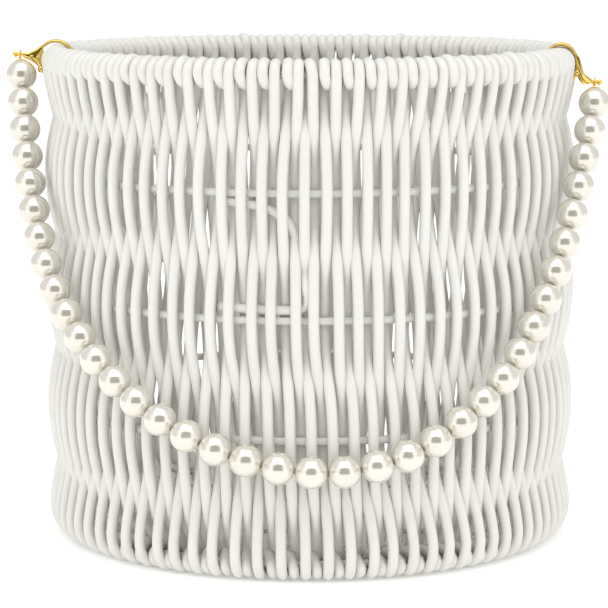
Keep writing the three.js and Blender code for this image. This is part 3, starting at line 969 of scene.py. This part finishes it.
class BASKET_OT_clasps(bpy.types.Operator):
    """Make the clasps: hook, body and pin in one, with a gate and its rivet"""

    bl_idname = "basket.clasps"
    bl_label = "Clasps"

    def execute(self, context):
        finish = gold_finish("polished_gold", context.scene.basket_strand.gold)
        for side in SIDES:
            clasp = Clasp(side)
            shape = CLASP_SHAPES[side]
            hook = smooth_run(flat_line(shape["hook"], clasp.azimuth), 0.5 * MM)

            def taper(u):
                wide = (0.62 + 0.75 * min(1.0, u * 2.2)) * MM
                end = 1 - 0.55 * max(0.0, 1 - u / 0.06) ** 2
                return wide * end, (0.42 + 0.2 * math.sin(math.pi * u)) * MM * end

            bar = strip_line(hook, clasp.across, taper)
            body = plate(shape["body"], clasp.azimuth, BODY_W)
            new_object(f"clasp_hook_{side}", *bar, finish, "basket", "gold", [f"clasp_{side}"])
            rounded(new_object(f"clasp_body_{side}", *body, finish, "basket", "gold"), 0.3 * MM)
            ridges = []
            for aside in (-RIDGE_ASIDE, RIDGE_ASIDE):
                line = smooth_run(flat_line(shape["ridge"], clasp.azimuth, aside), 0.3 * MM)
                ridges.append(tubes([line], rounded_end(0.38 * MM, 6 * MM), 10))
            new_object(f"clasp_ridge_{side}", *gathered(ridges), finish, "basket", "gold")
            new_object(f"clasp_pin_{side}", *self.pin_line(clasp), finish, "basket", "gold")
            self.gate(clasp, finish)
        return {"FINISHED"}

    @staticmethod
    def pin_line(clasp):
        """The pin from the body, through the bead tip's loop, to its round head."""
        start = clasp.pin - clasp.outward * PIN_BACK
        end = clasp.pin + clasp.outward * PIN_OUT
        run = [start.lerp(end, i / 8) for i in range(9)]
        return gathered([tubes([run], PIN_R, 14), ball(PIN_HEAD_R, end)])

    @staticmethod
    def gate(clasp, finish):
        """The sprung gate under the rim, and the rivet it turns on."""
        side = clasp.side
        radius, height = GATE_PLACE
        line = [(radius + inward, height + down) for inward, down in GATE_LINE]
        run = smooth_run(flat_line(line, clasp.azimuth), 0.4 * MM)
        eye = turned([(r * MM, z * MM) for r, z in GATE_EYE], 24)
        place = aimed(clasp.across, flat_line([GATE_PLACE], clasp.azimuth)[0])
        blade = strip_line(run, clasp.across, lambda u: ((0.65 - 0.2 * u) * MM, 0.42 * MM))
        parts = gathered([blade, moved(eye, place)])
        new_object(f"gate_bar_{side}", *parts, finish, f"gate_{side}", "gold", [f"gate_{side}"])
        profile = [(r * MM, -z * MM) for r, z in RIVET_HALF[:0:-1]]
        profile += [(r * MM, z * MM) for r, z in RIVET_HALF]
        pin = moved(turned(profile, 20), place)
        new_object(f"gate_rivet_{side}", *pin, finish, "basket", "gold", [f"rivet_{side}"])


class BASKET_OT_bead_tips(bpy.types.Operator):
    """Curl the bead tips: a cup on each end pearl and a loop round the clasp's pin"""

    bl_idname = "basket.bead_tips"
    bl_label = "Bead tips"

    def execute(self, context):
        settings = context.scene.basket_strand
        finish = gold_finish("bead_tip_gold", settings.gold)
        strand = Strand()
        for side, distance in (("left", strand.pearl(0)), ("right", strand.length - END_REACH)):
            clasp = Clasp(side)
            pearl = strand.at(distance)
            along = (pearl - clasp.pin).normalized()
            square = (along - clasp.outward * along.dot(clasp.outward)).normalized()
            other = clasp.outward.cross(square)
            loop = []
            for i in range(TIP_STEPS + 1):
                a = math.radians(-20 + 372 * i / TIP_STEPS)
                shift = clasp.outward * ((i / TIP_STEPS - 0.5) * 0.5 * MM)
                ring = square * (TIP_LOOP_R * math.cos(a)) + other * (TIP_LOOP_R * math.sin(a))
                loop.append(clasp.pin + ring + shift)
            seat = settings.pearl_d / 2 + CUP_GAP
            dome = [(seat * math.sin(a), seat * math.cos(a)) for a in np.linspace(0, CUP_ANGLE, 8)]
            dome[0] = (0, seat)
            lid = [(r * 1.04, z + CUP_THICK * (1 - r / (2.6 * MM))) for r, z in dome[::-1]]
            lid[-1] = (0, lid[-1][1])
            cup = moved(turned([*dome, *lid], 24), aimed(-along, pearl))
            neck = [loop[2].lerp(pearl - along * seat, i / 6) for i in range(7)]
            curl = tubes([loop], rounded_end(TIP_WIRE_R, 7 * MM), 10)
            part = gathered([curl, cup, tubes([neck], TIP_NECK_R, 10)])
            replaced = [f"bead_tip_{side}"]
            new_object(f"bead_tip_curl_{side}", *part, finish, "handle", "gold", replaced)
        return {"FINISHED"}


class BASKET_OT_cord(bpy.types.Operator):
    bl_idname = "basket.cord"
    bl_label = "Declare cord"

    def execute(self, context):
        strand = Strand()
        pieces = [bpy.data.objects["pearls"]]
        pieces += [bpy.data.objects[f"bead_tip_curl_{side}"] for side in SIDES]
        tuple(strand.pins()["left"])
        return {"FINISHED"}


# ---- stage ----
FLOOR_HALF = 6
LIT_MIDDLE = Vector((0, 0, 0.08))  # what the side panels face
PANEL_PLACE = (0.78, -0.78, 0.44)  # the right one; the left one mirrors it
PANEL_SIZE = (0.86, 1.4 * 0.86)
CARD_HALF = 0.6
CARD_HEIGHT = 0.24
CARD_BEHIND = 0.1  # behind the camera


def flat_square(name, half, upright=False):
    """A flat square mesh about its middle, level or facing along Y."""
    corners = [(-half, -half), (half, -half), (half, half), (-half, half)]
    mesh = bpy.data.meshes.new(name)
    mesh.from_pydata([(x, 0, y) if upright else (x, y, 0) for x, y in corners], [], [(0, 1, 2, 3)])
    return mesh


class BASKET_OT_camera(bpy.types.Operator):
    """Set up the camera"""

    bl_idname = "basket.camera"
    bl_label = "Camera"

    def execute(self, context):
        settings = context.scene.basket_stage
        rim = hoop_place("rim_hoop", context.scene.basket_weave.wire_d)[1]
        data = bpy.data.cameras.new("camera")
        data.lens = settings.lens
        data.sensor_width = 36
        camera = bpy.data.objects.new("camera", data)
        camera.location = (settings.aside, -settings.distance, rim + settings.above_rim)
        camera.rotation_euler = (math.pi / 2 - settings.tilt, 0, 0)
        context.collection.objects.link(camera)
        context.scene.camera = camera
        return {"FINISHED"}


class BASKET_OT_stage(bpy.types.Operator):
    """Lay the pale floor and set the soft lights"""

    bl_idname = "basket.stage"
    bl_label = "Stage"

    def execute(self, context):
        settings = context.scene.basket_stage
        mesh = flat_square("floor", FLOOR_HALF)
        floor = bpy.data.objects.new("floor", mesh)
        finish = Finish(
            "pale_floor",
            Roughness=0.6,
            Specular_IOR_Level=0.2,
            Emission_Color=(1, 1, 1, 1),
            Emission_Strength=0.22,
        )
        cloud = finish.noise((3, 3, 3), 2)
        finish.set(Base_Color=finish.mixed(cloud, (0.93, 0.93, 0.925), (0.95, 0.95, 0.945)))
        mesh.materials.append(finish.material)
        context.collection.objects.link(floor)
        self.surround(context, settings)
        self.dark_card(context, settings)
        for name, side in (("left_panel", -1), ("right_panel", 1)):
            self.panel(context, name, side, settings.side_power)
        data = bpy.data.lights.new("top_light", "SUN")
        data.energy = settings.top_light
        data.angle = math.radians(70)
        top = bpy.data.objects.new("top_light", data)
        top.rotation_euler = (math.radians(20), 0, 0)
        context.collection.objects.link(top)
        context.scene.view_settings.view_transform = "Standard"
        return {"FINISHED"}

    @staticmethod
    def surround(context, settings):
        """A white surround, brighter where it is seen bare."""
        world = bpy.data.worlds.new("surround")
        shading = Shading(world, "Background")
        seen = shading.node("ShaderNodeLightPath").outputs["Is Camera Ray"]
        inputs = {0: seen, 2: settings.sky, 3: settings.backdrop}
        strength = shading.node("ShaderNodeMix", {"data_type": "FLOAT"}, inputs)
        shading.set(Color=(1, 1, 1), Strength=strength.outputs[0])
        context.scene.world = world

    @staticmethod
    def dark_card(context, settings):
        """The dim room round the camera, which only shows as a reflection."""
        mesh = flat_square("camera_card", CARD_HALF, upright=True)
        finish = Finish("dim_room", Roughness=0.9, Specular_IOR_Level=0.0)
        dapple = finish.noise((9, 9, 9), 2)
        finish.set(Base_Color=finish.mixed(dapple, (0.1, 0.088, 0.04), (0.135, 0.12, 0.065)))
        mesh.materials.append(finish.material)
        card = bpy.data.objects.new("camera_card", mesh)
        card.location = (0, -settings.distance - CARD_BEHIND, CARD_HEIGHT)
        card.visible_camera = False
        card.visible_diffuse = False
        card.visible_shadow = False
        context.collection.objects.link(card)

    @staticmethod
    def panel(context, name, side, power):
        across, along, up = PANEL_PLACE
        place = Vector((side * across, along, up))
        data = bpy.data.lights.new(name, "AREA")
        data.shape = "RECTANGLE"
        data.size, data.size_y = PANEL_SIZE
        data.energy = power
        light = bpy.data.objects.new(name, data)
        light.location = place
        light.rotation_euler = (LIT_MIDDLE - place).to_track_quat("-Z", "Y").to_euler()
        context.collection.objects.link(light)


class BASKET_PT_panel(bpy.types.Panel):
    """Steps and sizes of the basket"""

    bl_label = "Flower Girl Basket"
    bl_space_type = "VIEW_3D"
    bl_region_type = "UI"
    bl_category = "Basket"

    def draw(self, context):
        for name, settings in SETTINGS.items():
            box = self.layout.box()
            box.label(text=settings.__doc__)
            for prop in settings.__annotations__:
                box.prop(getattr(context.scene, name), prop)
        for step in STEPS:
            self.layout.operator(step.bl_idname)


SETTINGS = {
    "basket_weave": WeaveSettings,
    "basket_strand": StrandSettings,
    "basket_stage": StageSettings,
}
STEPS = (
    BASKET_OT_camera,
    BASKET_OT_thread,
    BASKET_OT_pearls,
    BASKET_OT_bead_tips,
    BASKET_OT_cord,
    BASKET_OT_hoops,
    BASKET_OT_wall,
    BASKET_OT_floor,
    BASKET_OT_clasps,
    BASKET_OT_stage,
)


def register():
    for name, settings in SETTINGS.items():
        bpy.utils.register_class(settings)
        setattr(bpy.types.Scene, name, PointerProperty(type=settings))
    for made in (*STEPS, BASKET_PT_panel):
        bpy.utils.register_class(made)


def unregister():
    for made in (BASKET_PT_panel, *reversed(STEPS)):
        bpy.utils.unregister_class(made)
    for name, settings in SETTINGS.items():
        delattr(bpy.types.Scene, name)
        bpy.utils.unregister_class(settings)


def main():
    register()
    for step in STEPS:
        group, name = step.bl_idname.split(".")
        getattr(getattr(bpy.ops, group), name)()


if __name__ == "__main__":
    main()
